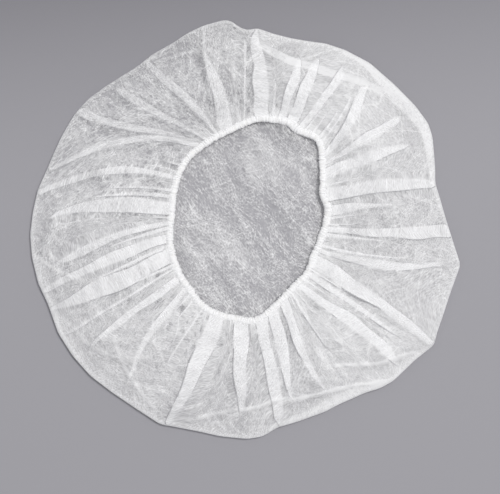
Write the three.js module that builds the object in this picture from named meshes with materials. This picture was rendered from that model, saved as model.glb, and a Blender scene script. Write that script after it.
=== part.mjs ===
import * as THREE from 'three';

// A disposable hair cover cap of thin non-woven, lying flat with its gathered opening up.
// Units are millimetres and +Z is up. The origin is on the surface, under the middle of the cap.
// Azimuths are degrees from +X towards +Y, about the middle of the opening.
// Along the gathered side, t is 0 at the outline and 1 at the hem.

// Driving dimensions
const OUTLINE_REACH = 160; // from the middle of the opening to the outline, where a share is 1
const OPENING_REACH = 76; // from the middle of the opening to the hem's inner edge, where a share is 1
const WALL = 1; // cloth of the crown, the fold and the side
const FOLD_RADIUS = 3.2; // soft fold at the outline, to the middle of the cloth
const PUFF = 12; // how far the side stands up between the outline and the hem
const HEM_LEVEL = 9; // height of the hem's centre line
const PLEAT_HEIGHT = 4.5; // the tallest pleat
const GAP_DIP = 0.7; // how far the cloth sinks between two pleats
const CREASE_DEPTH = 1.6; // the deepest crease beside the outline
const ELASTIC_RADIUS = 1.15; // elastic inside the hem
const ELASTIC_CLEARANCE = 0.35; // room round the elastic
const CASING_WALL = 1; // cloth rolled round the elastic
const RUFFLE = 0.45; // how far the hem's gathers stand out of the casing
const SEAM_GAP = 0.4; // between the side's edge and the casing

// Sizes that follow
const CASING_INSIDE = ELASTIC_RADIUS + ELASTIC_CLEARANCE;
const CASING_OUTSIDE = CASING_INSIDE + CASING_WALL;
const HEM_HALF_WIDTH = CASING_OUTSIDE + RUFFLE;

// Counts and shares that shape the facets
const HEM_STATIONS = 84; // facets round the opening, in pairs of one gather and one hollow
const CASING_SIDES = 8; // points along the casing's arc
const SLIT_ANGLE = 44; // part of the casing's arc left open along its underside, in degrees
const ELASTIC_SIDES = 6;
const SIDE_STEPS = [1, 0.93, 0.84, 0.73, 0.61, 0.49, 0.37, 0.26, 0.17, 0.08, 0];
const FOLD_TURNS = [30, -30, -90]; // degrees above the middle of the fold
const CROWN_STEPS = [0.84, 0.55, 0.25]; // shares of the crown's reach, from the outline inwards
const PLEAT_WIDTH_AT_OUTLINE = 0.35; // share of its angle at the hem
const PLEAT_HEIGHT_AT_HEM = 0.2; // share of its full height
const CREASE_WIDTH = 0.07; // half of a crease's width along t

function table(columns, rows) {
  return rows.map((row) => Object.fromEntries(columns.map((name, i) => [name, row[i]])));
}

// The outline from above. Its corners and notches are where a fold meets the edge.
const OUTLINE = table(['azimuth', 'reach'], [
  [4, 0.95], [11, 0.93], [20, 0.97], [28, 1.0], [41, 0.98], [58, 0.96], [67, 0.94], [77, 0.9],
  [86, 0.93], [91, 0.92], [96, 0.98], [103, 0.965], [111, 0.94], [120, 0.92], [128, 0.92],
  [138, 0.95], [147, 0.985], [155, 1.0], [164, 1.01], [172, 1.045], [184, 1.065], [196, 1.07],
  [204, 1.06], [212, 1.065], [220, 1.07], [229, 1.06], [238, 1.07], [247, 1.09], [255, 1.08],
  [263, 1.07], [272, 1.07], [279, 1.025], [290, 1.01], [303, 1.02], [312, 1.06], [320, 1.07],
  [326, 1.095], [333, 1.07], [343, 1.055], [350, 1.055], [356, 0.99],
]);

// The opening inside the hem, a round form drawn out towards azimuths 55 and 260.
const OPENING = table(['azimuth', 'reach'], [
  [0, 0.76], [20, 0.82], [38, 0.95], [52, 1.06], [70, 1.04], [90, 0.96], [112, 0.88], [135, 0.82],
  [160, 0.77], [180, 0.77], [205, 0.84], [228, 0.92], [248, 0.99], [268, 1.0], [285, 0.91],
  [303, 0.81], [325, 0.765],
]);

// The main pleats, anticlockwise: azimuth of the crest at the hem, half way and at the outline,
// angle across at the hem, the t at which the pleat starts, and its share of PLEAT_HEIGHT.
const PLEATS = table(['hem', 'middle', 'outer', 'across', 'start', 'height'], [
  [6, 6, 4, 7, 0.45, 0.7],
  [16.5, 14, 11, 8, 0.05, 0.9],
  [31, 26.5, 23, 6, 0.25, 0.8],
  [39.5, 45, 50, 5, 0.25, 0.6],
  [60, 57.5, 57, 5, 0.25, 0.5],
  [70, 69, 70, 9, 0.22, 1],
  [82.5, 85, 88, 8, 0.08, 1],
  [101, 103.5, 106, 8, 0.22, 0.9],
  [110.5, 117.5, 123, 4.5, 0.05, 0.6],
  [118, 129, 136, 4.5, 0.12, 0.6],
  [126, 144.5, 164, 4.5, 0, 0.8],
  [149, 159, 172, 5, 0, 0.75],
  [160, 167, 177, 5, 0.5, 0.4],
  [171.5, 176, 183, 9, 0.18, 1],
  [182, 188, 194, 4.5, 0.22, 0.6],
  [193, 197, 200, 7, 0.05, 0.7],
  [205.5, 205.5, 206, 9, 0, 1],
  [219, 216.5, 216, 5, 0.18, 0.6],
  [229, 231, 237, 5, 0.2, 0.6],
  [252, 251, 248.5, 9, 0, 1],
  [266.5, 267.5, 268.5, 7, 0.22, 0.8],
  [281, 281.5, 280, 12, 0.08, 1],
  [294, 293.5, 296, 6, 0.16, 0.6],
  [308.5, 315, 316, 5, 0.1, 0.7],
  [327, 327, 326, 10, 0, 1],
  [338, 342, 348, 4.5, 0.15, 0.6],
  [353, 355, 357, 5, 0, 0.6],
]);

// Creases that cross the pleats beside the outline: azimuths of both ends, t at both ends and in
// the middle, and share of CREASE_DEPTH. A negative share is a raised edge.
const CREASES = table(['from', 'to', 'startT', 'middleT', 'endT', 'depth'], [
  [44, 81, 0.1, 0.28, 0.14, -1],
  [10, 44, 0.08, 0.2, 0.02, 0.8],
  [258, 309, 0.08, 0.24, 0.05, -0.9],
  [300, 323, 0.28, 0.18, 0.1, 0.5],
]);

const radians = (degrees) => THREE.MathUtils.degToRad(degrees);
const mix = THREE.MathUtils.lerp;

// A smooth closed curve through a table's rows, as a function of azimuth.
function roundCurve(rows, key) {
  const count = rows.length;
  const value = (i) => rows[(i + count) % count][key];
  const angle = (i) => rows[(i + count) % count].azimuth + 360 * Math.floor(i / count);
  const slope = (i) => (value(i + 1) - value(i - 1)) / (angle(i + 1) - angle(i - 1));
  return (azimuth) => {
    const first = rows[0].azimuth;
    const wrapped = first + THREE.MathUtils.euclideanModulo(azimuth - first, 360);
    const i = rows.findLastIndex((row) => row.azimuth <= wrapped);
    const span = angle(i + 1) - angle(i);
    const s = (wrapped - angle(i)) / span;
    const bend = s * (1 - s) * span * ((1 - s) * slope(i) - s * slope(i + 1));
    const ease = s * s * (3 - 2 * s);
    return mix(value(i), value(i + 1), ease) + bend;
  };
}

const outlineReach = roundCurve(OUTLINE, 'reach');
const openingReach = roundCurve(OPENING, 'reach');

const outlineRadius = (azimuth) => OUTLINE_REACH * outlineReach(azimuth);
const hemRadius = (azimuth) => OPENING_REACH * openingReach(azimuth) + HEM_HALF_WIDTH;
const edgeRadius = (azimuth) => hemRadius(azimuth) + HEM_HALF_WIDTH + SEAM_GAP;

function polar(azimuth, radius, height) {
  const angle = radians(azimuth);
  return new THREE.Vector3(radius * Math.cos(angle), radius * Math.sin(angle), height);
}

// Azimuth of a pleat's crest at t, on a smooth line through its three azimuths.
function crestAzimuth(pleat, t) {
  const outer = pleat.outer * (1 - 2 * t) * (1 - t);
  const middle = pleat.middle * 4 * t * (1 - t);
  const hem = pleat.hem * t * (2 * t - 1);
  return outer + middle + hem;
}

function halfAcross(pleat, t) {
  return 0.5 * pleat.across * mix(PLEAT_WIDTH_AT_OUTLINE, 1, t);
}

// A pleat rises from where it starts, is tallest beside the hem, and is drawn flat into the hem.
function crestHeight(pleat, t) {
  const rise = THREE.MathUtils.smoothstep(t, pleat.start, pleat.start + 0.4);
  const drawIn = mix(1, PLEAT_HEIGHT_AT_HEM, THREE.MathUtils.smoothstep(t, 0.72, 1));
  return PLEAT_HEIGHT * pleat.height * rise * drawIn;
}

function gapDip(t) {
  return -GAP_DIP * THREE.MathUtils.smoothstep(t, 0.2, 0.6) * (1 - THREE.MathUtils.smoothstep(t, 0.8, 1));
}

// Four lines run along each pleat: its right foot, its crest, its left foot and the gap to the next.
function sideLines() {
  const lines = [];
  PLEATS.forEach((pleat, i) => {
    const turn = i + 1 === PLEATS.length ? 360 : 0;
    const next = PLEATS[(i + 1) % PLEATS.length];
    const leftFoot = (t) => crestAzimuth(pleat, t) + halfAcross(pleat, t);
    const nextFoot = (t) => turn + crestAzimuth(next, t) - halfAcross(next, t);
    lines.push({
      azimuth: (t) => crestAzimuth(pleat, t) - halfAcross(pleat, t),
      lift: () => 0,
    });
    lines.push({
      azimuth: (t) => crestAzimuth(pleat, t),
      lift: (t) => crestHeight(pleat, t),
    });
    lines.push({ azimuth: leftFoot, lift: () => 0 });
    lines.push({
      azimuth: (t) => 0.5 * (leftFoot(t) + nextFoot(t)),
      lift: gapDip,
    });
  });
  return lines;
}

// Height that the creases beside the outline take away or add.
function creaseLift(azimuth, t) {
  let lift = 0;
  for (const crease of CREASES) {
    const turn = THREE.MathUtils.euclideanModulo(azimuth - crease.from, 360);
    const along = turn / (crease.to - crease.from);
    if (along < 1) {
      const bow = 4 * along * (1 - along);
      const line = mix(crease.startT, crease.endT, along);
      const middle = 0.5 * (crease.startT + crease.endT);
      const offset = (t - line - bow * (crease.middleT - middle)) / CREASE_WIDTH;
      lift -= CREASE_DEPTH * crease.depth * Math.sqrt(bow) * Math.exp(-offset * offset);
    }
  }
  return lift;
}

// The side between the fold and the hem, at the middle of its cloth.
function sidePoint(line, t) {
  const azimuth = line.azimuth(t);
  const radius = mix(outlineRadius(azimuth) - FOLD_RADIUS, edgeRadius(azimuth), t);
  const level = mix(WALL / 2 + 2 * FOLD_RADIUS, HEM_LEVEL, t);
  const puff = PUFF * Math.sin(Math.PI * t ** 0.85) ** 1.3;
  const fade = Math.min(1, 8 * t);
  return polar(azimuth, radius, level + puff + line.lift(t) + fade * creaseLift(azimuth, t));
}

function foldPoint(line, turn) {
  const azimuth = line.azimuth(0);
  const radius = outlineRadius(azimuth) - FOLD_RADIUS * (1 - Math.cos(radians(turn)));
  return polar(azimuth, radius, WALL / 2 + FOLD_RADIUS * (1 + Math.sin(radians(turn))));
}

function crownPoint(line, share) {
  const azimuth = line.azimuth(0);
  return polar(azimuth, share * (outlineRadius(azimuth) - FOLD_RADIUS), WALL / 2);
}

// Joins two rings of points. The second ring has as many points as the first, or half as many.
function bridge(first, second, triangles) {
  const count = first.length;
  if (second.length === count) {
    for (let i = 0; i < count; i += 1) {
      const next = (i + 1) % count;
      triangles.push([first[i], second[i], second[next]], [first[i], second[next], first[next]]);
    }
    return;
  }
  for (let i = 0; i < count; i += 2) {
    const near = second[i / 2];
    const far = second[(i / 2 + 1) % second.length];
    const middle = first[i + 1];
    const last = first[(i + 2) % count];
    triangles.push([first[i], near, middle], [middle, near, far], [middle, far, last]);
  }
}

// The whole sheet at the middle of its cloth, from the edge beside the hem to the crown's middle.
function sheetRings() {
  const lines = sideLines();
  const everySecond = lines.filter((line, i) => i % 2 === 0);
  const everyFourth = lines.filter((line, i) => i % 4 === 0);
  const crownLines = [lines, everySecond, everyFourth];
  return [
    ...SIDE_STEPS.map((t) => lines.map((line) => sidePoint(line, t))),
    ...FOLD_TURNS.map((turn) => lines.map((line) => foldPoint(line, turn))),
    ...CROWN_STEPS.map((share, i) => crownLines[i].map((line) => crownPoint(line, share))),
  ];
}

function sheet() {
  const points = [];
  const triangles = [];
  const rings = sheetRings().map((ring) => ring.map((point) => points.push(point) - 1));
  for (let i = 0; i + 1 < rings.length; i += 1) {
    bridge(rings[i], rings[i + 1], triangles);
  }
  const last = rings[rings.length - 1];
  const middle = points.push(new THREE.Vector3(0, 0, WALL / 2)) - 1;
  last.forEach((index, i) => triangles.push([index, middle, last[(i + 1) % last.length]]));
  return { points, triangles, edge: rings[0] };
}

function pointNormals(points, triangles) {
  const normals = points.map(() => new THREE.Vector3());
  for (const [a, b, c] of triangles) {
    const along = points[b].clone().sub(points[a]);
    const across = points[c].clone().sub(points[a]);
    const normal = along.cross(across);
    for (const index of [a, b, c]) normals[index].add(normal);
  }
  return normals.map((normal) => normal.normalize());
}

function geometryFrom(points, triangles) {
  const geometry = new THREE.BufferGeometry().setFromPoints(points);
  geometry.setIndex(triangles.flat());
  geometry.computeVertexNormals();
  return geometry;
}

// Gives an open sheet its wall: a skin on each side, closed along the sheet's edge.
function thicken({ points, triangles, edge }, wall) {
  const count = points.length;
  const normals = pointNormals(points, triangles);
  const outer = points.map((point, i) => point.clone().addScaledVector(normals[i], wall / 2));
  const inner = points.map((point, i) => point.clone().addScaledVector(normals[i], -wall / 2));
  const backs = triangles.map(([a, b, c]) => [a + count, c + count, b + count]);
  const rim = edge.flatMap((index, i) => {
    const next = edge[(i + 1) % edge.length];
    return [[index, next, next + count], [index, next + count, index + count]];
  });
  return geometryFrom([...outer, ...inner], [...triangles, ...backs, ...rim]);
}

// Stations along the hem's centre line, each with its direction out of the opening.
function hemStations() {
  const step = 360 / HEM_STATIONS;
  return Array.from({ length: HEM_STATIONS }, (_, i) => {
    const azimuth = i * step;
    const centre = polar(azimuth, hemRadius(azimuth), HEM_LEVEL);
    const ahead = polar(azimuth + step, hemRadius(azimuth + step), HEM_LEVEL);
    const behind = polar(azimuth - step, hemRadius(azimuth - step), HEM_LEVEL);
    const along = ahead.sub(behind).normalize();
    return { centre, outward: new THREE.Vector3(along.y, -along.x, 0) };
  });
}

// Sweeps a closed section round the opening. A section is a list of [outward, up], anticlockwise.
function sweepRound(sectionAt) {
  const points = [];
  const triangles = [];
  const stations = hemStations();
  stations.forEach(({ centre, outward }, i) => {
    for (const [out, up] of sectionAt(i)) {
      points.push(centre.clone().addScaledVector(outward, out).setZ(centre.z + up));
    }
  });
  const sides = sectionAt(0).length;
  for (let i = 0; i < stations.length; i += 1) {
    const here = i * sides;
    const there = ((i + 1) % stations.length) * sides;
    for (let j = 0; j < sides; j += 1) {
      const next = (j + 1) % sides;
      triangles.push([here + j, there + j, there + next], [here + j, there + next, here + next]);
    }
  }
  return geometryFrom(points, triangles);
}

function arc(radius, from, to, count) {
  return Array.from({ length: count }, (_, i) => {
    const angle = radians(mix(from, to, i / (count - 1)));
    return [radius * Math.cos(angle), radius * Math.sin(angle)];
  });
}

// The casing is a rolled strip, open along its underside. Every second station is a gather.
function casingSection(station) {
  const start = -90 + SLIT_ANGLE / 2;
  const end = 270 - SLIT_ANGLE / 2;
  const outside = CASING_OUTSIDE + (station % 2 === 0 ? RUFFLE : 0);
  return [...arc(outside, start, end, CASING_SIDES), ...arc(CASING_INSIDE, end, start, CASING_SIDES)];
}

function elasticSection() {
  return arc(ELASTIC_RADIUS, 0, 360, ELASTIC_SIDES + 1).slice(0, ELASTIC_SIDES);
}

function piece(name, geometry, material) {
  const mesh = new THREE.Mesh(geometry, material);
  mesh.name = name;
  return mesh;
}

const nonWoven = new THREE.MeshStandardMaterial({ color: 0xf3f5f8, roughness: 0.95 });
const rolledNonWoven = new THREE.MeshStandardMaterial({ color: 0xfafbfd, roughness: 0.95 });
const latex = new THREE.MeshStandardMaterial({ color: 0xe9e4d6, roughness: 0.6 });

const shell = thicken(sheet(), WALL);
shell.computeBoundingBox();
const middle = shell.boundingBox.getCenter(new THREE.Vector3());

const cap = new THREE.Group();
cap.add(piece('cap_shell', shell, nonWoven));
cap.add(piece('hem_casing', sweepRound(casingSection), rolledNonWoven));
cap.add(piece('elastic_band', sweepRound(elasticSection), latex));
cap.position.set(-middle.x, -middle.y, 0);

export default cap;
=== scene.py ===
"""A disposable hair cover cap of thin spun-bonded cloth, lying flat with its gathered opening up.

Lengths are millimetres in the tables and shape functions, and metres in the meshes. Azimuths are
degrees from +X towards +Y about the middle of the opening. Along the gathered side, t is 0 at the
outline and 1 at the hem. The cap is one round disc: a flat crown, a soft fold at the outline, and
the side that comes back over the crown in pleats to the elastic hem.
"""
import math
from collections import namedtuple

import bpy
import numpy as np
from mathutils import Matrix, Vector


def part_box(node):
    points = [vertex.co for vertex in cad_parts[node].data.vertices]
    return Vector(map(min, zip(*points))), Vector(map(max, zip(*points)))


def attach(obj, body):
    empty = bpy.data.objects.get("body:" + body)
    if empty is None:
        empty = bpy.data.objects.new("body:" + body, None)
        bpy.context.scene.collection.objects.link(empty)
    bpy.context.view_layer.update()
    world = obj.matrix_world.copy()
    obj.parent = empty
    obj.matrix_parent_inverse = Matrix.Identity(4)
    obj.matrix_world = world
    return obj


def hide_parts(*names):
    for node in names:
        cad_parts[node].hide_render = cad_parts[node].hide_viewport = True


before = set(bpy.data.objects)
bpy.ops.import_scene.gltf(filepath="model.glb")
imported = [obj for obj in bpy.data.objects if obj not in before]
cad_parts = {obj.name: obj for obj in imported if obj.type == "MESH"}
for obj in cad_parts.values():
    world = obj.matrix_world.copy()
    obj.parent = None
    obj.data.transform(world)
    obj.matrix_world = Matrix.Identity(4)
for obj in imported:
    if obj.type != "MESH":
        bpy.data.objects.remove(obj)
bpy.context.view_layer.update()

MM = 0.001  # also for the scale of a noise: 0.9 / MM has nearly one grain in each millimetre

# Sizes of the cap, as its solids have them
MIDDLE = np.array([1.85, 7.85])  # the middle of the opening
OUTLINE_REACH = 160.0  # middle of the opening to the outline, where a share is 1
OPENING_REACH = 76.0  # middle of the opening to the hem's inner edge, where a share is 1
HEM_HALF_WIDTH = 2.95
FOLD_RADIUS = 3.2  # soft fold at the outline
FOLD_SHARPNESS = 0.5  # 1 for a round fold, and less where it is pressed flatter
PUFF = 12.0  # how far the side stands up between the outline and the hem
CLOTH_ON_FLOOR = 0.4  # lowest cloth above the surface
CUT_OUTLINE = 170  # in the flat disc, from its middle to the outline, for the soft waves
CUT_SIDE = 97  # and from there to the hem

# Folds
LAYER_GAP = 0.17  # between the layers of a pressed fold
GAP_SAG = 0.2  # how far the cloth sinks between two pleats
PLEAT_LOFT = 0.85  # how far the upper layer of the softest pleat bulges
CHORD_LOFT = 0.7  # how far a fold that runs along the outline stands up
FINE_WAVES = 0.35  # small uneven places of the side
BROAD_WAVES = 1.1  # its large soft ones
TUCKED_IN = 0.3  # from the middle of the hem to the side's edge inside it
MEETS_HEM = 1.1  # above the middle of the hem, where the side goes into it

# Hem
CASING_RADIUS = 2.6
ELASTIC_RADIUS = 1.15
GATHER_PITCH = 2.0  # from one gather of the hem to the next

# Extra cover of the web, added to its own, where the cloth is pressed, gathered or loose
PRESSED_EDGE = 0.1  # along a crisp folded edge
LOOSE_EDGE = -0.28  # along a soft folded edge, where a pleat fades out
HIDDEN_LAYER = -0.65  # in the two lower layers of the flattest pleat, so that it shows less
FINE_GATHERS = 0.14  # towards the hem, for gathers finer than the mesh
CLOSE_GATHERS = 0.12  # more of the same, right beside the hem
OPEN_GAPS = -0.3  # in the small gaps between gathers
DOUBLED_COVER = 0.26  # in the strip along the outline

# Layer of a fold, from the side that its upper layer comes from to the other side
LAYER_PLACES = (-1, -0.62, -0.38, -0.28, 0.28, 0.38, 1)
LAYER_STEPS = (0, 2, 2, 1, 1, 0, 0)
CRISP_WIDTH = 0.07  # how far the cover of a crisp edge reaches, in the same places
LOOSE_WIDTH = 0.12  # the same, of a soft edge

# Mesh steps
SIDE_ROWS = 84
FOLD_TURNS = (60, 20, -20, -60, -90)
CROWN_COLUMNS = 300
CROWN_RIM_SHARE = 0.955
SEEN_CROWN = 88.0  # the part of the crown below the opening, which needs the finer steps
MAIN_STEPS = (-1, -.86, -.72, -.58, -.46, -.39, -.333, -.277, -.14, 0, .14, .277, .333, .39, .55, .78)
SMALL_STEPS = (-1, -.68, -.44, -.333, -.22, 0, .22, .333, .44, .7)

# Corners of the outline from above: azimuth, reach as a share of OUTLINE_REACH.
OUTLINE = (
    (0, 0.97), (5, 0.95), (11, 0.935), (15, 0.95), (19, 0.965), (24, 0.99), (28, 1.0), (34, 0.99),
    (42, 0.975), (52, 0.97), (60, 0.955), (66, 0.94), (71, 0.92), (76, 0.91), (82, 0.915), (87, 0.935),
    (90, 0.925), (92, 0.935), (95, 0.975), (97, 0.98), (103, 0.97), (108, 0.955), (113, 0.935),
    (120, 0.93), (126, 0.92), (131, 0.93), (137, 0.95), (143, 0.975), (149, 0.99), (156, 0.995),
    (161, 1.0), (166, 1.01), (172, 1.035), (178, 1.05), (184, 1.065), (190, 1.07), (197, 1.07),
    (203, 1.06), (206, 1.065), (211, 1.08), (218, 1.085), (225, 1.085), (232, 1.075), (240, 1.075),
    (247, 1.09), (251, 1.075), (257, 1.065), (263, 1.07), (270, 1.075), (274, 1.065), (278, 1.03),
    (284, 1.02), (292, 1.015), (296, 1.01), (304, 1.025), (308, 1.05), (312, 1.065), (320, 1.07),
    (326, 1.1), (329, 1.08), (334, 1.065), (340, 1.055), (348, 1.065), (352, 1.025), (356, 0.995),
)

# The opening inside the hem: azimuth, reach as a share of OPENING_REACH, with the hem's small kinks.
OPENING = (
    (0, 0.78), (6, 0.798), (12, 0.79), (18, 0.775), (24, 0.812), (31, 0.868), (36, 0.915),
    (41, 0.978), (46, 1.04), (50, 1.055), (56, 1.033), (60, 1.014), (67, 1.04), (73, 1.03), (84, 1.0),
    (92, 0.945), (100, 0.9), (110, 0.868), (124, 0.846), (135, 0.838), (150, 0.795), (160, 0.768),
    (172, 0.746), (184, 0.756), (196, 0.79), (206, 0.818), (220, 0.868), (230, 0.895), (240, 0.955),
    (252, 0.988), (264, 0.995), (272, 1.01), (278, 0.99), (284, 0.932), (292, 0.87), (300, 0.825),
    (308, 0.798), (316, 0.797), (324, 0.77), (332, 0.74), (340, 0.745), (348, 0.748), (354, 0.77),
)

# How full the gathered hem is: azimuth, its thickness as a share of CASING_RADIUS.
FULLNESS = (
    (0, 1.2), (25, 1.02), (50, 1.1), (62, 1.3), (80, 1.12), (100, 1.03), (130, 1.02), (175, 1.04),
    (205, 1.08), (240, 1.12), (290, 1.1), (325, 1.12),
)

# The pleats that show one by one, anticlockwise. Azimuth of the middle at the hem, half way and at
# the outline; degrees across at the same three places; the t at which the pleat starts; lean, 1
# where its upper layer is folded on the left and -1 on the right; loft as a share of PLEAT_LOFT.
# A pleat with much loft shows most: its upper edge is crisp, and its lower layers are dense.
Pleat = namedtuple("Pleat", "hem middle outer hem_across middle_across outer_across start lean loft")
PLEATS = [Pleat(*row) for row in (
    (6, 6, 4, 8, 3, 1, 0.5, 1, 0.6),
    (16.5, 14, 10.5, 9, 6, 3, 0.05, -1, 0.65),
    (30.5, 26.5, 23.5, 6, 5, 2.5, 0.28, 1, 0.5),
    (35.5, 34, 33, 1.5, 4, 3, 0.22, -1, 0.5),
    (39.5, 45, 52, 3, 5, 3, 0.28, 1, 0.55),
    (46, 49, 54.5, 1, 0.9, 0.8, 0.5, 1, 0.2),
    (60, 57.5, 57.5, 3, 3.5, 2.5, 0.25, 1, 0.5),
    (65.5, 66, 66.5, 6, 4.5, 3, 0.25, -1, 0.4),
    (71.5, 71.5, 72, 4.5, 4, 2, 0.28, 1, 0.45),
    (82, 85, 88, 8, 6.2, 3.4, 0.08, 1, 1),
    (92, 91, 90.8, 0.8, 0.8, 0.9, 0.15, -1, 0.3),
    (102.5, 103.5, 105.6, 9, 5, 1.5, 0.25, 1, 0.9),
    (109.5, 117.5, 123, 2.5, 4, 2.5, 0.05, -1, 0.6),
    (116.5, 130, 135, 2, 3.5, 2.5, 0.12, 1, 0.6),
    (119.5, 140, 147, 0.4, 3.5, 3, 0, -1, 0.5),
    (123, 146, 166, 4, 3.5, 1.8, 0, 1, 0.8),
    (150, 160, 172.5, 2.5, 4, 2, 0, 1, 0.7),
    (172, 174.5, 181, 11, 6, 2, 0.2, 1, 1),
    (182.5, 189, 195.5, 3, 4, 2, 0.25, -1, 0.6),
    (193.5, 196.5, 199.5, 7, 4.5, 1.5, 0.05, 1, 0.7),
    (205.5, 205.5, 204.5, 11, 7, 1.5, 0, -1, 0.9),
    (214, 213, 212.5, 1.2, 1, 1, 0.1, 1, 0.3),
    (221, 219, 219, 5, 3, 1.2, 0.2, -1, 0.5),
    (229, 230, 236, 4, 2.5, 1.2, 0.2, 1, 0.5),
    (243.5, 241, 242, 1, 0.8, 0.8, 0.5, -1, 0.3),
    (252.5, 251, 248.5, 9.5, 6, 1.5, 0, -1, 1),
    (266.5, 267.5, 268.7, 8, 5, 2, 0.25, -1, 0.8),
    (277.5, 279, 279, 7, 4.5, 3.5, 0.1, -1, 0.9),
    (285.5, 284.5, 283, 7, 4.5, 1.5, 0.25, 1, 0.9),
    (294, 292.5, 296, 7, 3, 1, 0.17, 1, 0.4),
    (301, 301.5, 303, 2, 1.2, 0.8, 0.5, -1, 0.3),
    (308, 315.5, 316, 4, 5.5, 3, 0.15, 1, 0.6),
    (318.5, 321.5, 322, 4, 2.5, 1, 0.3, -1, 0.3),
    (328, 327.5, 326, 10, 5, 1.5, 0, 1, 1),
    (336.5, 341.5, 349, 3.5, 4, 1.5, 0.17, -1, 0.4),
    (352.5, 354.5, 356.5, 4, 4, 4, 0, 1, 0.5),
)]

# Low folds that run along the outline and cross the pleats: azimuths of both ends, t at both ends and
# in the middle, width in millimetres, sharper edge, 1 on the hem's side, and the extra cover.
Chord = namedtuple("Chord", "first last first_t middle_t last_t width edge cover")
CHORDS = [Chord(*row) for row in (
    (40, 91, 0.05, 0.28, 0.05, 6, 1, 0.3),
    (253, 286, 0.03, 0.235, 0.165, 2.4, 1, 0.3),
    (278, 313, 0.2, 0.11, -0.02, 2.8, 1, 0.3),
    (299, 323, 0.31, 0.17, 0, 2.4, -1, 0.26),
    (188.4, 200.4, -0.04, 0.12, 0.3, 1.8, 1, 0.34),
    (156, 167, 0.56, 0.69, 0.8, 2.4, 1, 0.24),
    (356, 370, 0.36, 0.4, 0.37, 2.2, 1, 0.1),
    (100, 122, 0.24, 0.12, 0.03, 2.4, 1, 0.14),
    (222, 246, 0.32, 0.16, 0.04, 2.2, -1, 0.14),
    (214, 236, 0.1, 0.2, 0.42, 2.2, 1, 0.12),
    (140, 158, 0.06, 0.2, 0.38, 2.2, -1, 0.16),
    (146, 170, 0.45, 0.22, 0.05, 2.2, 1, 0.14),
)]

# Width of the bright strip along the outline, where the fold lies double: azimuth, millimetres.
DOUBLED_EDGE = (
    (0, 2), (10, 3.5), (20, 6.5), (30, 9), (38, 11), (46, 8), (54, 4), (65, 2), (80, 2), (95, 1.5),
    (120, 1), (150, 1), (185, 1.5), (198, 3), (216, 3), (226, 1.5), (262, 1), (272, 2), (284, 5),
    (297, 8), (306, 6), (314, 1.5), (330, 1), (350, 1.5),
)

# Painted light and shade on the crown below the opening: brighter and darker patches of cover for the
# shading of its soft wrinkles, brightest towards its top. Columns: place about its middle, size, extra
# cover.
CROWN_PAINTED_LIGHT_AND_SHADE = (
    (10, 42, 24, 0.2), (-9, 60, 8, -0.14), (4, 8, 20, -0.08), (-32, -14, 18, 0.07), (52, -4, 14, -0.06),
    (-20, -52, 14, -0.05), (-48, 24, 12, -0.05), (-12, -30, 14, 0.05),
)

# How dense the side's web is, partly real and partly painted light: denser and brighter towards the right
# and upper right, where the lamp is, and thinner and darker towards the left. Columns: azimuth, extra
# cover.
WEB_AND_PAINTED_LIGHT = (
    (0, 0.15), (30, 0.28), (50, 0.38), (75, 0.24), (100, 0.03), (130, -0.1), (155, -0.02), (180, 0.08),
    (210, 0.17), (240, 0.2), (268, 0.14), (290, 0.22), (315, 0.35), (340, 0.2),
)


# Shape of the cap
def round_curve(rows, azimuth):
    """A smooth closed curve through rows of (azimuth, value), read at these azimuths."""
    angle, value = np.array(rows, float).T
    angle = np.concatenate([angle[-2:] - 360, angle, angle[:3] + 360])
    value = np.concatenate([value[-2:], value, value[:3]])
    slope = np.zeros_like(value)
    slope[1:-1] = (value[2:] - value[:-2]) / (angle[2:] - angle[:-2])
    wrapped = (azimuth - rows[0][0]) % 360 + rows[0][0]
    i = np.searchsorted(angle, wrapped, side="right") - 1
    span = angle[i + 1] - angle[i]
    s = (wrapped - angle[i]) / span
    bend = s * (1 - s) * span * ((1 - s) * slope[i] - s * slope[i + 1])
    return value[i] + (value[i + 1] - value[i]) * s * s * (3 - 2 * s) + bend


def mix(first, last, share):
    return first + (last - first) * share


def smooth(low, high, x):
    s = np.clip((x - low) / (high - low), 0, 1)
    return s * s * (3 - 2 * s)


def straight_edges(rows, azimuth):
    """A closed outline with straight edges between its corners, read at these azimuths."""
    angle, value = np.array(rows, float).T
    angle, value = np.append(angle, angle[0] + 360), np.append(value, value[0])
    wrapped = (azimuth - rows[0][0]) % 360 + rows[0][0]
    i = np.searchsorted(angle, wrapped, side="right") - 1
    before, after = np.radians(wrapped - angle[i]), np.radians(angle[i + 1] - wrapped)
    return np.sin(before + after) / (np.sin(after) / value[i] + np.sin(before) / value[i + 1])


def outline_radius(azimuth):
    """Reach of the outline, with its corners rounded a little."""
    near = [straight_edges(OUTLINE, azimuth + turn) for turn in (-0.9, -0.45, 0, 0.45, 0.9)]
    return OUTLINE_REACH * sum(near) / len(near)


def hem_radius(azimuth):
    return OPENING_REACH * round_curve(OPENING, azimuth) + HEM_HALF_WIDTH


def to_plane(azimuth, radius):
    angle = np.radians(azimuth)
    return np.stack([radius * np.cos(angle), radius * np.sin(angle)], 1)


elastic_low, elastic_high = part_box("elastic_band")
HEM_LEVEL = (elastic_low[2] + elastic_high[2]) / 2 / MM


def waves(points, length, seed, count=14):
    """Soft random waves about 1 high, with about this length from crest to crest."""
    dice = np.random.default_rng(seed)
    turn = dice.uniform(0, 2 * math.pi, count)
    pace = 2 * math.pi / (length * dice.uniform(0.7, 1.5, count))
    start = dice.uniform(0, 2 * math.pi, count)
    x, y = points[..., 0], points[..., 1]
    total = 0
    for k in range(count):
        total = total + np.sin(pace[k] * (x * math.cos(turn[k]) + y * math.sin(turn[k])) + start[k])
    return total / math.sqrt(count / 2)


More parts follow.
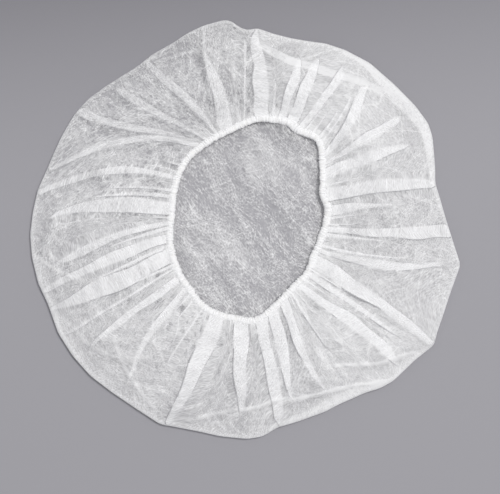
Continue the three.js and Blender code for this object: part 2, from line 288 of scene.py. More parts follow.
def small_pleats():
    """Fills what the main pleats leave free along the hem with small gathers."""
    dice = np.random.default_rng(11)
    pleats = []
    for here, there in zip(PLEATS, PLEATS[1:] + PLEATS[:1]):
        turn = 360 if there is PLEATS[0] else 0
        pleats.append((here, MAIN_STEPS))
        room = there.hem + turn - here.hem - (here.hem_across + there.hem_across) / 2
        count = max(0, round(room / 4.4))
        for k in range(count):
            share = (k + 0.5 + dice.uniform(-0.18, 0.18)) / count
            near, far = here.hem + here.hem_across / 2, there.hem + turn - there.hem_across / 2
            half = mix(here.middle, there.middle + turn, mix(0.5, share, 0.75))
            outer = mix(here.outer, there.outer + turn, (k + 1) / (count + 1))
            across = dice.uniform(1.6, 3.6)
            start = 0.92 - 0.5 * dice.random() ** 2
            lean = 1 if dice.random() < 0.5 else -1
            small = Pleat(mix(near, far, share), half, outer, across, across * 0.5, across * 0.25,
                          start, lean, dice.uniform(0.15, 0.35))
            pleats.append((small, SMALL_STEPS))
    return pleats


def wander(count, t, seed):
    """A slow random wave along each pleat, about 1 high."""
    dice = np.random.default_rng(seed)
    start, pace = dice.uniform(0, 2 * math.pi, (2, count)), dice.uniform(5, 11, (2, count))
    return (np.sin(start[0] + pace[0] * t) + np.sin(start[1] + 1.7 * pace[1] * t)) / 1.4


def middle_azimuth(pleats, t):
    outer, half, hem = (np.array([getattr(p, key) for p in pleats]) for key in ("outer", "middle", "hem"))
    return outer * (1 - 2 * t) * (1 - t) + half * 4 * t * (1 - t) + hem * t * (2 * t - 1)


def across_at(pleats, t):
    widths = []
    for p in pleats:
        places = [p.start, max(0.5, p.start + 0.15), 1.001]
        widths.append(np.interp(t, places, [p.outer_across, p.middle_across, p.hem_across]))
    return np.array(widths)


def side_row(pleats, steps, t, unfolding):
    """Every column at t: azimuth, layer, bulge, sag and the extra cover of its folds.

    unfolding is 1 where the pleats have opened flat.
    """
    centre, across = middle_azimuth(pleats, t), across_at(pleats, t)
    centre = centre + 0.05 * across * wander(len(pleats), t, 31)
    across = across * (1 + 0.11 * wander(len(pleats), t, 32))
    start = np.array([p.start for p in pleats])
    lean = np.array([p.lean for p in pleats])
    folded = smooth(-0.2, 0, t - start) * (1 - unfolding)
    right_edge = centre - across * folded / 2
    left_edge = centre + across * folded / 2
    right = (np.roll(left_edge, 1) + right_edge) / 2
    right[0] = (left_edge[-1] - 360 + right_edge[0]) / 2
    left = np.append(right[1:], right[0] + 360)
    turn_out = mix(mix(right, left, 1 / 3), centre + across / 2, folded)
    turn_back = mix(mix(right, left, 2 / 3), centre - across / 2, folded)
    overlap = smooth(0, 1, (turn_out - turn_back) / (0.7 * across))
    rows = []
    for k, s in enumerate(steps):
        s = np.array(s, float)
        azimuth = np.interp(s, [-1, -1 / 3, 1 / 3, 1], [right[k], turn_out[k], turn_back[k], left[k]])
        side = s * lean[k]
        layer = np.interp(side, LAYER_PLACES, LAYER_STEPS) * overlap[k]
        bulge = np.sin(np.pi * np.clip((side + 1) * 1.5, 0, 1)) * overlap[k] * pleats[k].loft
        sag = np.sin(np.pi * np.clip((side - 1 / 3) * 1.5, 0, 1))
        crisp = smooth(0.55, 0.95, pleats[k].loft)
        cover = PRESSED_EDGE * crisp * np.exp(-((side + 1 / 3) / CRISP_WIDTH) ** 2)
        cover += LOOSE_EDGE * (1 - crisp) * np.exp(-((side + 1 / 3) / LOOSE_WIDTH) ** 2)
        cover += LOOSE_EDGE * np.exp(-((side - 1 / 3) / LOOSE_WIDTH) ** 2)
        below = (side > -0.3) & (azimuth < turn_out[k] + 0.01) & (azimuth > turn_back[k] - 0.01)
        cover = (cover + HIDDEN_LAYER * (1 - pleats[k].loft) * below) * overlap[k]
        rows.append(np.stack([azimuth, layer, bulge, sag, cover], 1))
    return np.concatenate(rows)


def low_folds(azimuth, t):
    """Folds along the outline: how far the cloth is lifted, from 0 to 1, and its extra cover."""
    lift, cover = np.zeros_like(t), np.zeros_like(t)
    length = outline_radius(azimuth) - hem_radius(azimuth)
    for chord in CHORDS:
        along = ((azimuth - chord.first) % 360) / (chord.last - chord.first)
        inside = along < 1
        along = np.clip(along, 0, 1)
        line = mix(chord.first_t, chord.last_t, along)
        line = line + 4 * along * (1 - along) * (chord.middle_t - (chord.first_t + chord.last_t) / 2)
        away = (t - line) * length
        fade = smooth(0, 0.12, along) * smooth(0, 0.12, 1 - along) * inside
        body = smooth(0.5 * chord.width + 1.2, 0.5 * chord.width - 0.6, np.abs(away)) * fade
        edge = np.exp(-((away - 0.5 * chord.width * chord.edge) / 1.0) ** 2) * fade
        lift = np.maximum(lift, body)
        cover = np.maximum(cover, chord.cover * body + PRESSED_EDGE * edge)
    return lift, cover


def doubled_cover(azimuth, inwards):
    """Extra cover along the outline, at these millimetres inwards from it."""
    width = round_curve(DOUBLED_EDGE, azimuth)
    return DOUBLED_COVER * smooth(width + 1.5, width - 0.5, inwards)


def gather_cover(azimuth, radius, on_cut, t):
    """Extra cover of the gathers towards the hem, less in the small gaps, which show most on the left."""
    cover = FINE_GATHERS * smooth(0.3, 1, t) * np.clip(0.8 + 0.35 * waves(on_cut, 22, 8), 0, 1.3)
    cover = cover + CLOSE_GATHERS * smooth(0.8, 0.97, t)
    gaps = smooth(0.8, 1.6, waves(on_cut, 8, 9)) * smooth(0.5, 0.75, t) * (1 - smooth(0.95, 1, t))
    on_left = smooth(50, -50, radius * np.cos(np.radians(azimuth)))
    return cover + OPEN_GAPS * gaps * mix(0.5, 1, on_left)


def base_level(t):
    """Height of the side's cloth without its folds."""
    level = mix(CLOTH_ON_FLOOR + 2 * FOLD_RADIUS, HEM_LEVEL, t)
    return level + PUFF * math.sin(math.pi * t ** 0.85) ** 1.3


def side_grid():
    """The side and the fold, a row of points for each step from the hem to the crown's rim."""
    found = small_pleats()
    pleats, steps = [p for p, _ in found], [s for _, s in found]
    cut = side_row(pleats, steps, 0, 1)[:, 0]
    rows, extra = [], []
    for t in np.linspace(1, 0, SIDE_ROWS):
        azimuth, layer, bulge, sag, fold_cover = side_row(pleats, steps, t, 0).T
        lift, low_cover = low_folds(azimuth, np.full_like(azimuth, t))
        outer, inner = outline_radius(azimuth) - FOLD_RADIUS, hem_radius(azimuth) + TUCKED_IN
        radius = mix(outer, inner, t)
        on_cut = to_plane(cut, CUT_OUTLINE + CUT_SIDE * t)
        free = smooth(0, 0.12, t)
        drawn = 1 - smooth(0.8, 1, t)
        height = base_level(t) + MEETS_HEM * smooth(0.9, 1, t)
        height += LAYER_GAP * layer + PLEAT_LOFT * bulge * mix(0.15, 1, drawn)
        height -= GAP_SAG * sag * drawn * smooth(0.15, 0.5, t)
        height += (FINE_WAVES * waves(on_cut, 9, 3) * free
                   + BROAD_WAVES * waves(on_cut, 46, 5) * free * drawn)
        height += smooth(0, 0.02, t) * CHORD_LOFT * lift
        rows.append(np.stack([azimuth, radius, height], 1))
        doubled = doubled_cover(azimuth, t * (outer - inner) + FOLD_RADIUS)
        folded = np.maximum(np.maximum(fold_cover, low_cover), doubled)
        # The web's table also paints light: brighter towards the lamp on the right, darker on the left.
        extra.append(folded + gather_cover(azimuth, radius, on_cut, t) + round_curve(WEB_AND_PAINTED_LIGHT, azimuth))
    for turn in FOLD_TURNS:
        azimuth = side_row(pleats, steps, 0, smooth(90, -60, turn))[:, 0]
        angle = math.radians(turn)
        radius = outline_radius(azimuth) - FOLD_RADIUS * (1 - math.cos(angle) ** FOLD_SHARPNESS)
        height = np.full_like(azimuth, CLOTH_ON_FLOOR + FOLD_RADIUS * (1 + math.sin(angle)))
        rows.append(np.stack([azimuth, radius, height], 1))
        inwards = outline_radius(azimuth) - radius
        # The web's table also paints light here: brighter towards the lamp on the right, darker on the
        # left.
        extra.append(doubled_cover(azimuth, inwards) + round_curve(WEB_AND_PAINTED_LIGHT, azimuth))
    return rows, extra, cut


def crown_rings():
    """The crown, in rings from its rim to its middle."""
    azimuth = np.arange(CROWN_COLUMNS) * 360 / CROWN_COLUMNS
    rim = outline_radius(azimuth) - FOLD_RADIUS
    rings = []
    for share in np.linspace(CROWN_RIM_SHARE, 0.6, 9):
        rings.append(np.stack([azimuth, rim * share], 1))
    for reach in np.linspace(SEEN_CROWN, 4, 24):
        round_share = reach / SEEN_CROWN
        wide = mix(SEEN_CROWN, rim * 0.57, round_share ** 2)
        rings.append(np.stack([azimuth, wide * round_share], 1))
    return rings


def crown_level(points, share):
    """Soft wrinkles of the crown: flat beside the fold, and a little raised below the opening."""
    free = 1 - smooth(0.75, 0.97, share)
    # The longer wrinkles run one way, from the upper left to the lower right
    across = points[:, 0] * 0.85 + points[:, 1] * 0.53
    along = points[:, 1] * 0.85 - points[:, 0] * 0.53
    slant = np.stack([across, along * 0.3], 1)
    lift = 3.4 + 1.5 * waves(slant, 25, 21) + 0.5 * waves(points, 10, 22) + 0.9 * waves(points, 60, 23)
    return CLOTH_ON_FLOOR + free * np.clip(lift, 0, None)


def crown_cover_and_painted_light(flat):
    """Extra cover of the crown's web at these places about its middle, with painted light and shade in soft
    patches.
    """
    extra = np.full(len(flat), 0.03)
    # painted light and shade: brighter and darker patches of cover
    for x, y, size, cover in CROWN_PAINTED_LIGHT_AND_SHADE:
        away = np.linalg.norm(flat - np.array([x, y]), axis=1)
        extra = extra + cover * np.exp(-(away / size) ** 2)
    return extra


def to_points(azimuth, radius, height):
    return np.column_stack([to_plane(azimuth, radius) + MIDDLE, height])


def zip_rings(outer, inner, first, second, faces):
    """Joins two rings with different counts of points, which start at these indices."""
    a, b = 0, 0
    count_a, count_b = len(outer), len(inner)
    offset = int(np.argmin(np.abs((outer - inner[0] + 180) % 360 - 180)))
    steps_a = [(outer[(offset + k) % count_a] - inner[0] + 3) % 360 for k in range(count_a)] + [363.0]
    steps_b = [(inner[k] - inner[0] + 3) % 360 for k in range(count_b)] + [363.0]
    while a < count_a or b < count_b:
        here_a, here_b = first + (offset + a) % count_a, second + b % count_b
        if b >= count_b or (a < count_a and steps_a[a + 1] <= steps_b[b + 1]):
            faces.append((here_a, here_b, first + (offset + a + 1) % count_a))
            a += 1
        else:
            faces.append((here_a, here_b, second + (b + 1) % count_b))
            b += 1


def ring_faces(first, rings, count):
    """Four-sided faces between closed rings of points, which lie one after another from this index."""
    faces = []
    for r in range(rings - 1):
        here = first + r * count
        for c in range(count):
            there = (c + 1) % count
            faces.append((here + c, here + count + c, here + count + there, here + there))
    return faces


def flat_side(points, rim_reach, cut):
    """The side's points in the flat disc, each as far out as the way to it along the cloth."""
    ways = [rim_reach]
    for below, above in zip(points[::-1], points[-2::-1]):
        ways.append(ways[-1] + np.linalg.norm(above - below, axis=1))
    return [to_plane(cut, way) for way in ways[::-1]]


def crown_points(rings):
    """The crown's points with the one in its middle, and their places in the flat disc."""
    outer = outline_radius(rings[0][:, 0]) - FOLD_RADIUS
    points, flat = [], []
    for ring in rings:
        spot = to_points(ring[:, 0], ring[:, 1], np.zeros(CROWN_COLUMNS))
        spot[:, 2] = crown_level(spot, ring[:, 1] / outer)
        points.append(spot)
        flat.append(spot[:, :2] - MIDDLE)
    points.append(np.array([[MIDDLE[0], MIDDLE[1], points[-1][:, 2].mean()]]))
    return points, np.concatenate(flat + [np.zeros((1, 2))])


def build_cloth():
    """The whole cloth as one open sheet: vertices, faces, places in the flat cut and extra cover."""
    rows, side_extra, cut = side_grid()
    side = [to_points(*row.T) for row in rows]
    rings = crown_rings()
    crown, crown_flat = crown_points(rings)
    start = len(side) * len(cut)
    faces = ring_faces(0, len(side), len(cut))
    zip_rings(rows[-1][:, 0], rings[0][:, 0], start - len(cut), start, faces)
    faces += ring_faces(start, len(rings), CROWN_COLUMNS)
    last = start + (len(rings) - 1) * CROWN_COLUMNS
    pole = last + CROWN_COLUMNS
    faces += [(last + c, pole, last + (c + 1) % CROWN_COLUMNS) for c in range(CROWN_COLUMNS)]
    vertices = np.concatenate(side + crown) * MM
    flat = np.concatenate(flat_side(side, rows[-1][:, 1], cut) + [crown_flat]) * MM
    # The extra cover holds painted light and shade too: the side brighter towards the lamp, and patches on
    # the crown.
    extra = np.concatenate(side_extra + [crown_cover_and_painted_light(crown_flat)])
    return vertices, faces, flat, extra


def mesh_piece(name, vertices, faces, material):
    mesh = bpy.data.meshes.new(name)
    mesh.from_pydata(vertices.tolist(), [], faces)
    mesh.polygons.foreach_set("use_smooth", [True] * len(mesh.polygons))
    mesh.materials.append(material)
    piece = bpy.data.objects.new(name, mesh)
    bpy.context.scene.collection.objects.link(piece)
    return piece


def cloth_piece(material):
    vertices, faces, flat, extra = build_cloth()
    piece = mesh_piece("cap_cloth", vertices, faces, material)
    corners = np.zeros(len(piece.data.loops), int)
    piece.data.loops.foreach_get("vertex_index", corners)
    piece.data.uv_layers.new(name="flat_cut").data.foreach_set("uv", flat[corners].ravel())
    piece.data.attributes.new("extra_cover", "FLOAT", "POINT").data.foreach_set("value", extra)
    return piece


# Node trees
def add(tree, kind, inputs=None, **settings):
    """Adds a node with its settings. inputs gives a socket, by name or number, a value or a link."""
    node = tree.nodes.new(kind)
    for name, value in settings.items():
        setattr(node, name, value)
    for key, value in (inputs or {}).items():
        if isinstance(value, bpy.types.NodeSocket):
            tree.links.new(value, node.inputs[key])
        else:
            node.inputs[key].default_value = value
    return node


def linear(colour):
    """An sRGB hex colour as linear red, green, blue and 1."""
    parts = [int(colour[i:i + 2], 16) / 255 for i in (0, 2, 4)]
    return [*(c / 12.92 if c <= 0.04045 else ((c + 0.055) / 1.055) ** 2.4 for c in parts), 1]


def new_material(name):
    material = bpy.data.materials.new(name)
    material.use_nodes = True
    material.node_tree.nodes.clear()
    return material, material.node_tree


def spread(tree, value, middle, share, total):
    """Adds this share of a pattern, taken about its middle, to the total."""
    return add(tree, "ShaderNodeMath", {
        0: add(tree, "ShaderNodeMath", {0: value, 1: middle}, operation="SUBTRACT").outputs[0],
        1: share, 2: total}, operation="MULTIPLY_ADD").outputs[0]


def moved_about(tree, place, per_metre, reach):
    """The same place, moved up to about half of reach by a soft noise."""
    bend = add(tree, "ShaderNodeTexNoise", {"Vector": place, "Scale": per_metre, "Detail": 1.0},
               noise_dimensions="2D")
    offset = add(tree, "ShaderNodeVectorMath", {0: bend.outputs["Color"], 1: (0.5, 0.5, 0.5)},
                 operation="SUBTRACT")
    offset = add(tree, "ShaderNodeVectorMath", {0: offset.outputs[0], "Scale": reach}, operation="SCALE")
    return add(tree, "ShaderNodeVectorMath", {0: place, 1: offset.outputs[0]}, operation="ADD").outputs[0]


def drawn_noise(tree, place, degrees, run, gap):
    """A noise drawn out one way: its length along these degrees, and its width across them."""
    turned = add(tree, "ShaderNodeMapping", {
        "Vector": place, "Location": (0.31 + run, 0.17 - gap, 0), "Rotation": (0, 0, math.radians(degrees)),
        "Scale": (run, gap, 1)}, vector_type="TEXTURE")
    noise = add(tree, "ShaderNodeTexNoise", {
        "Vector": turned.outputs["Vector"], "Scale": 1.0, "Detail": 0.0}, noise_dimensions="2D")
    return noise.outputs["Fac"]


def drawn_lines(tree, place, degrees, run, gap, thickness):
    """Thin soft lines that run one way, 1 on a line. thickness is a share of the gap between them."""
    noise = drawn_noise(tree, place, degrees, run, gap)
    away = add(tree, "ShaderNodeMath", {0: noise, 1: 0.5}, operation="SUBTRACT")
    away = add(tree, "ShaderNodeMath", {0: away.outputs[0]}, operation="ABSOLUTE").outputs[0]
    return add(tree, "ShaderNodeMapRange", {
        "Value": away, "From Min": 0.0, "From Max": thickness, "To Min": 1.0, "To Max": 0.0},
        interpolation_type="SMOOTHSTEP").outputs[0]


# Cover is the share of light that one layer stops.
OWN_COVER = 0.37  # of the web's middle density
CREASE_COVER = 0.16  # added along a crease from the packet

FIBRE_COVER = 0.27  # added where a drawn fibre of full share lies
FIBRE_THICKNESS = 0.08  # of the gap between two fibres
FIBRE_MIDDLE = 0.2  # about the mean of such lines, so that they don't change the cloth's tone

# Families of drawn fibres in the flat cut: direction in degrees, how far a fibre runs one way, the gap
# to the next one, in metres, and share. A real fibre is 0.02 mm wide, so a line of about 0.6 mm
# stands for a bundle that shows.
FIBRES = (
    (128, 0.040, 0.0022, 1.0),
    (113, 0.032, 0.0020, 0.75),
    (144, 0.032, 0.0023, 0.9),
    (165, 0.026, 0.0027, 0.65),
    (80, 0.026, 0.0026, 0.6),
    (32, 0.022, 0.0029, 0.65),
)

# Clouds of the web, from its formation on the belt: direction, length, width and share.
CLOUDS = (
    (130, 0.090, 0.026, 0.45),
    (124, 0.026, 0.009, 0.6),
    (20, 0.0045, 0.0035, 0.5),
    (112, 0.0017, 0.0012, 0.85),
)

# Creases left from the packet: direction, length, gap and share.
CREASES = (
    (38, 0.070, 0.022, 1.0),
    (140, 0.080, 0.026, 0.9),
)


def spun_bonded_web(tree, place):
    """How dense the web is, about 0: fibres laid mostly one way, others across them, and clouds."""
    bent = moved_about(tree, place, 28.0, 0.012)
    web = 0.0
    for degrees, run, gap, share in FIBRES:
        fibres = drawn_lines(tree, bent, degrees, run, gap, FIBRE_THICKNESS)
        web = spread(tree, fibres, FIBRE_MIDDLE, FIBRE_COVER * share, web)
    for degrees, run, gap, share in CLOUDS:
        web = spread(tree, drawn_noise(tree, bent, degrees, run, gap), 0.5, share, web)
    return web


def creased_lines(tree, place):
    """Thin, nearly straight creases, 1 where the cloth is creased."""
    bent = moved_about(tree, place, 24.0, 0.02)
    creases = 0.0
    for degrees, run, gap, share in CREASES:
        creases = spread(tree, drawn_lines(tree, bent, degrees, run, gap, 0.02), 0.0, share, creases)
    return creases


def spun_bonded_polypropylene():
    """A thin web of melt-spun white fibres: matt, see-through between its fibres, whiter where it
    lies in several layers or is pressed into a fold."""
    material, tree = new_material("spun_bonded_polypropylene")
    place = add(tree, "ShaderNodeUVMap", uv_map="flat_cut").outputs["UV"]
    web = spun_bonded_web(tree, place)
    creases = creased_lines(tree, place)
    # extra_cover also carries painted light and shade: the side brighter towards the lamp on the right and
    # darker on the left, and patches on the crown.
    extra = add(tree, "ShaderNodeAttribute", attribute_name="extra_cover").outputs["Fac"]
    shows = add(tree, "ShaderNodeMapRange", {
        "Value": extra, "From Min": 0.0, "From Max": 0.3, "To Min": 0.68, "To Max": 0.32}).outputs[0]
    cover = add(tree, "ShaderNodeMath", {
        0: web, 1: shows, 2: OWN_COVER}, operation="MULTIPLY_ADD").outputs[0]
    cover = add(tree, "ShaderNodeMath", {
        0: creases, 1: CREASE_COVER, 2: cover}, operation="MULTIPLY_ADD").outputs[0]
    cover = add(tree, "ShaderNodeMath", {0: extra, 1: cover}, operation="ADD").outputs[0]
    cover = add(tree, "ShaderNodeClamp", {"Value": cover, "Min": 0.12, "Max": 0.96}).outputs[0]
    bump = add(tree, "ShaderNodeBump", {"Height": web, "Strength": 0.2, "Distance": 0.0005})
    white = linear("F7F7F8")
    cloth = add(tree, "ShaderNodeBsdfPrincipled", {
        "Base Color": white, "Roughness": 0.85, "Specular IOR Level": 0.2,
        "Normal": bump.outputs["Normal"]})
    through = add(tree, "ShaderNodeBsdfTranslucent", {"Color": white})
    fibres = add(tree, "ShaderNodeMixShader", {0: 0.34, 1: cloth.outputs[0], 2: through.outputs[0]})
    holes = add(tree, "ShaderNodeBsdfTransparent")
    sheet = add(tree, "ShaderNodeMixShader", {0: cover, 1: holes.outputs[0], 2: fibres.outputs[0]})
    add(tree, "ShaderNodeOutputMaterial", {"Surface": sheet.outputs[0]})
    return material


def gathered_polypropylene():
    """The same web rolled over the elastic and gathered tight: nearly opaque, bright and matt."""
    material, tree = new_material("gathered_polypropylene")
    place = add(tree, "ShaderNodeTexCoord").outputs["Object"]
    fibres = add(tree, "ShaderNodeTexNoise", {"Vector": place, "Scale": 0.9 / MM, "Detail": 2.0})
    bump = add(tree, "ShaderNodeBump", {
        "Height": fibres.outputs["Fac"], "Strength": 0.3, "Distance": 0.0004})
    tone = add(tree, "ShaderNodeMix", {
        0: fibres.outputs["Fac"], 6: linear("F9F9FB"), 7: linear("FEFEFF")}, data_type="RGBA")
    cloth = add(tree, "ShaderNodeBsdfPrincipled", {
        "Base Color": tone.outputs[2], "Roughness": 0.85, "Specular IOR Level": 0.2,
        "Normal": bump.outputs["Normal"]})
    through = add(tree, "ShaderNodeBsdfTranslucent", {"Color": linear("FDFDFD")})
    shader = add(tree, "ShaderNodeMixShader", {0: 0.38, 1: cloth.outputs[0], 2: through.outputs[0]})
    add(tree, "ShaderNodeOutputMaterial", {"Surface": shader.outputs[0]})
    return material


def extruded_latex():
    """Elastic thread of extruded latex: off-white and soft, dull from the powder that is left on it."""
    material, tree = new_material("extruded_latex")
    place = add(tree, "ShaderNodeTexCoord").outputs["Object"]
    grain = add(tree, "ShaderNodeTexNoise", {"Vector": place, "Scale": 1.5 / MM, "Detail": 2.0})
    bump = add(tree, "ShaderNodeBump", {
        "Height": grain.outputs["Fac"], "Strength": 0.3, "Distance": 0.0002})
    tone = add(tree, "ShaderNodeMix", {
        0: grain.outputs["Fac"], 6: linear("DED8C8"), 7: linear("EFEADD")}, data_type="RGBA")
    rubber = add(tree, "ShaderNodeBsdfPrincipled", {
        "Base Color": tone.outputs[2], "Roughness": 0.55, "IOR": 1.52, "Normal": bump.outputs["Normal"]})
    add(tree, "ShaderNodeOutputMaterial", {"Surface": rubber.outputs[0]})
    return material


def matt_paper_with_painted_shade():
    """Grey studio paper, matt, painted darker towards its upper left as painted shade, where the light
    falls off.
    """
    material, tree = new_material("matt_paper_with_painted_shade")
    place = add(tree, "ShaderNodeTexCoord").outputs["Object"]
    turned = add(tree, "ShaderNodeMapping", {
        "Vector": place, "Location": (0, 0.012, 0), "Rotation": (0, 0, math.radians(95)),
        "Scale": (0.18, 1, 1)}, vector_type="TEXTURE")
    # painted shade: the grey goes darker towards the upper left, for the light falling off
    fade = add(tree, "ShaderNodeTexGradient", {
        "Vector": turned.outputs["Vector"]}, gradient_type="QUADRATIC")
    tone = add(tree, "ShaderNodeMix", {
        0: fade.outputs["Fac"], 6: linear("929196"), 7: linear("7C7B80")}, data_type="RGBA")
    paper = add(tree, "ShaderNodeBsdfPrincipled", {
        "Base Color": tone.outputs[2], "Roughness": 0.9, "Specular IOR Level": 0.1})
    add(tree, "ShaderNodeOutputMaterial", {"Surface": paper.outputs[0]})
    return material


# Sizes of the gathered hem, in metres except for its flatness, which is a share of its height
HEM_SIZES = (
    ("Casing Radius", CASING_RADIUS * MM),
    ("Gather Pitch", GATHER_PITCH * MM),
    ("Gather Width", 1.5 * MM),
    ("Gather Height", 0.62 * MM),
    ("Crumple", 3.6 * MM),
    ("Flatness", 0.74),
    ("Level", HEM_LEVEL * MM),
)


def tree_input(tree, name, kind, value):
    socket = tree.interface.new_socket(name, in_out="INPUT", socket_type=kind)
    if value is not None:
        socket.default_value = value
    return socket


def rolled_casing(tree, given, path, fullness):
    """The casing, rolled along the path and crumpled a little."""
    section = add(tree, "GeometryNodeCurvePrimitiveCircle", {
        "Resolution": 14, "Radius": given["Casing Radius"]})
    roll = add(tree, "GeometryNodeCurveToMesh", {
        "Curve": path, "Profile Curve": section.outputs["Curve"], "Scale": fullness})
    where = add(tree, "GeometryNodeInputPosition").outputs[0]
    noise = add(tree, "ShaderNodeTexNoise", {"Vector": where, "Scale": 0.33 / MM, "Detail": 2.0})
    push = add(tree, "ShaderNodeMath", {0: noise.outputs["Fac"], 1: 0.5}, operation="SUBTRACT").outputs[0]
    push = add(tree, "ShaderNodeMath", {0: push, 1: given["Crumple"]}, operation="MULTIPLY").outputs[0]
    facing = add(tree, "GeometryNodeInputNormal").outputs[0]
    shove = add(tree, "ShaderNodeVectorMath", {0: facing, "Scale": push}, operation="SCALE").outputs[0]
    return add(tree, "GeometryNodeSetPosition", {"Geometry": roll.outputs[0], "Offset": shove}).outputs[0]


def one_gather(tree, given):
    """One gather, bent over the casing from its inner side to its outer side."""
    half = add(tree, "ShaderNodeMath", {0: given["Gather Width"], 1: 0.5}, operation="MULTIPLY").outputs[0]
    reach = add(tree, "ShaderNodeMath", {
        0: given["Casing Radius"], 1: given["Gather Height"]}, operation="ADD")
    reach = add(tree, "ShaderNodeMath", {0: reach.outputs[0], 1: half}, operation="SUBTRACT").outputs[0]
    arch = add(tree, "GeometryNodeCurveArc", {
        "Resolution": 8, "Radius": reach, "Start Angle": math.radians(-40),
        "Sweep Angle": math.radians(260)})
    along = add(tree, "GeometryNodeSplineParameter").outputs["Factor"]
    swell = add(tree, "ShaderNodeMath", {0: along, 1: math.pi}, operation="MULTIPLY").outputs[0]
    swell = add(tree, "ShaderNodeMath", {0: swell}, operation="SINE").outputs[0]
    swell = add(tree, "ShaderNodeMath", {0: swell, 1: 0.3}, operation="POWER").outputs[0]
    thin = add(tree, "GeometryNodeCurvePrimitiveCircle", {"Resolution": 6, "Radius": half}).outputs["Curve"]
    return add(tree, "GeometryNodeCurveToMesh", {
        "Curve": arch.outputs["Curve"], "Profile Curve": thin, "Scale": swell}).outputs[0]


def gathers_along(tree, given, path, fullness):
    """The gathers along the path, each turned and sized a little by chance."""
    spots = add(tree, "GeometryNodeCurveToPoints", {
        "Curve": path, "Length": given["Gather Pitch"]}, mode="LENGTH")
    facing_in = add(tree, "FunctionNodeAxesToRotation", {
        "Primary Axis": spots.outputs["Tangent"], "Secondary Axis": (0.0, 0.0, 1.0)},
        primary_axis="Z", secondary_axis="Y")
    sway = add(tree, "FunctionNodeRandomValue", {
        0: (-0.35, -0.25, -0.4), 1: (0.35, 0.25, 0.4), "Seed": 4}, data_type="FLOAT_VECTOR")
    sway = add(tree, "FunctionNodeEulerToRotation", {0: sway.outputs[0]}).outputs[0]
    turned = add(tree, "FunctionNodeRotateRotation", {
        "Rotation": facing_in.outputs[0], "Rotate By": sway}, rotation_space="LOCAL").outputs[0]
    size = add(tree, "FunctionNodeRandomValue", {
        0: (0.86, 0.86, 0.5), 1: (1.1, 1.1, 1.5), "Seed": 7}, data_type="FLOAT_VECTOR")
    size = add(tree, "ShaderNodeVectorMath", {0: size.outputs[0], "Scale": fullness}, operation="SCALE")
    ribs = add(tree, "GeometryNodeInstanceOnPoints", {
        "Points": spots.outputs["Points"], "Instance": one_gather(tree, given), "Rotation": turned,
        "Scale": size.outputs[0]})
    return add(tree, "GeometryNodeRealizeInstances", {0: ribs.outputs[0]}).outputs[0]


def pressed_flatter(tree, given, shape):
    """The whole hem, pressed flatter about its level."""
    squeeze = add(tree, "ShaderNodeCombineXYZ", {0: 1.0, 1: 1.0, 2: given["Flatness"]})
    rise = add(tree, "ShaderNodeMath", {0: 1.0, 1: given["Flatness"]}, operation="SUBTRACT").outputs[0]
    rise = add(tree, "ShaderNodeMath", {0: rise, 1: given["Level"]}, operation="MULTIPLY").outputs[0]
    rise = add(tree, "ShaderNodeCombineXYZ", {2: rise})
    return add(tree, "GeometryNodeTransform", {
        "Geometry": shape, "Translation": rise.outputs[0], "Scale": squeeze.outputs[0]}).outputs[0]


def gathered_hem_tree(material):
    """Nodes that roll a casing along a path and gather it into many small ribs."""
    tree = bpy.data.node_groups.new("gathered_hem", "GeometryNodeTree")
    tree_input(tree, "Path", "NodeSocketGeometry", None)
    for name, value in HEM_SIZES:
        tree_input(tree, name, "NodeSocketFloat", value)
    tree.interface.new_socket("Hem", in_out="OUTPUT", socket_type="NodeSocketGeometry")
    given = add(tree, "NodeGroupInput").outputs
    path = add(tree, "GeometryNodeMeshToCurve", {"Mesh": given["Path"]}).outputs[0]
    fullness = add(tree, "GeometryNodeInputNamedAttribute", {"Name": "fullness"}).outputs["Attribute"]
    joined = add(tree, "GeometryNodeJoinGeometry")
    tree.links.new(rolled_casing(tree, given, path, fullness), joined.inputs[0])
    tree.links.new(gathers_along(tree, given, path, fullness), joined.inputs[0])
    pressed = pressed_flatter(tree, given, joined.outputs[0])
    soft = add(tree, "GeometryNodeSetShadeSmooth", {"Geometry": pressed}).outputs[0]
    done = add(tree, "GeometryNodeSetMaterial", {"Geometry": soft, "Material": material}).outputs[0]
    add(tree, "NodeGroupOutput", {0: done})
    return tree


def hem_path(count):
    azimuth = np.arange(count) * 360 / count
    return azimuth, to_points(azimuth, hem_radius(azimuth), np.full(count, HEM_LEVEL)) * MM


def elastic_piece(material):
    """The elastic thread inside the hem, a closed loop of round section."""
    count, sides = 240, 8
    azimuth, path = hem_path(count)
    outwards = np.column_stack([to_plane(azimuth, np.ones(count)), np.zeros(count)])
    turns = np.arange(sides) * 2 * math.pi / sides
    across, upwards = np.cos(turns)[None, :, None], np.sin(turns)[None, :, None]
    ring = across * outwards[:, None] + upwards * np.array([0, 0, 1])
    vertices = (path[:, None] + ELASTIC_RADIUS * MM * ring).reshape(-1, 3)
    faces = []
    for i in range(count):
        here, there = i * sides, (i + 1) % count * sides
        for j in range(sides):
            k = (j + 1) % sides
            faces.append((here + j, here + k, there + k, there + j))
    return mesh_piece("elastic_thread", vertices, faces, material)


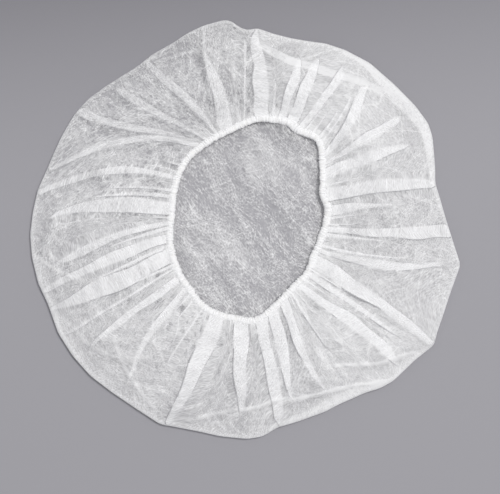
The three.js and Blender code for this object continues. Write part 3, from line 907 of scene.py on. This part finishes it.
def hem_piece(material):
    """The gathered hem: the path is given to the nodes, and their result becomes a plain mesh."""
    count = 720
    azimuth, vertices = hem_path(count)
    mesh = bpy.data.meshes.new("hem_path")
    mesh.from_pydata(vertices.tolist(), [(i, (i + 1) % count) for i in range(count)], [])
    fullness = round_curve(FULLNESS, azimuth)
    mesh.attributes.new("fullness", "FLOAT", "POINT").data.foreach_set("value", fullness)
    guide = bpy.data.objects.new("hem_path", mesh)
    bpy.context.scene.collection.objects.link(guide)
    modifier = guide.modifiers.new("gathers", "NODES")
    modifier.node_group = gathered_hem_tree(material)
    bpy.context.view_layer.update()
    shape = bpy.data.meshes.new_from_object(guide.evaluated_get(bpy.context.evaluated_depsgraph_get()))
    shape.name = "gathered_hem"
    bpy.data.objects.remove(guide)
    piece = bpy.data.objects.new("gathered_hem", shape)
    bpy.context.scene.collection.objects.link(piece)
    return piece


# Surface, lights and camera
def floor_piece():
    half = 1.6
    corners = np.array([(-half, -half, 0), (half, -half, 0), (half, half, 0), (-half, half, 0)])
    mesh_piece("floor", corners, [(0, 1, 2, 3)], matt_paper_with_painted_shade())


def lamp(name, place, aim, size, power, colour):
    data = bpy.data.lights.new(name, "AREA")
    data.shape = "DISK"
    data.size = size
    data.energy = power
    data.color = linear(colour)[:3]
    light = bpy.data.objects.new(name, data)
    direction = np.array(aim) - np.array(place)
    reach = np.linalg.norm(direction)
    level = math.acos(-direction[2] / reach)
    turn = math.atan2(direction[1], direction[0]) - math.pi / 2
    light.location = place
    light.rotation_euler = (level, 0, turn)
    bpy.context.scene.collection.objects.link(light)


def lights():
    lamp("softbox", (0.88, 0.72, 3.3), (0, 0, 0), 0.9, 90.0, "FFFEFC")
    world = bpy.data.worlds.new("studio")
    world.use_nodes = True
    background = world.node_tree.nodes["Background"]
    background.inputs["Color"].default_value = linear("FCFDFF")
    background.inputs["Strength"].default_value = 0.57
    bpy.context.scene.world = world


def camera():
    """Straight above, with a long lens. The picture's middle is a little below the cap's."""
    picture_width = 0.392  # what the picture spans at the cloth
    distance = 1.5
    data = bpy.data.cameras.new("camera")
    data.sensor_width = 36
    data.lens = 36 * distance / picture_width
    view = bpy.data.objects.new("camera", data)
    view.location = (0.0038, -0.0139, distance)
    bpy.context.scene.collection.objects.link(view)
    bpy.context.scene.camera = view


camera()
lights()
floor_piece()

hem = hem_piece(gathered_polypropylene())
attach(hem, "root")
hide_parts("hem_casing")

elastic = elastic_piece(extruded_latex())
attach(elastic, "root")
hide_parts("elastic_band")

cloth = cloth_piece(spun_bonded_polypropylene())
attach(cloth, "root")
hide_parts("cap_shell")

bpy.context.scene.view_settings.view_transform = "Standard"
bpy.context.scene.cycles.transparent_max_bounces = 32
bpy.context.scene.cycles.diffuse_bounces = 6
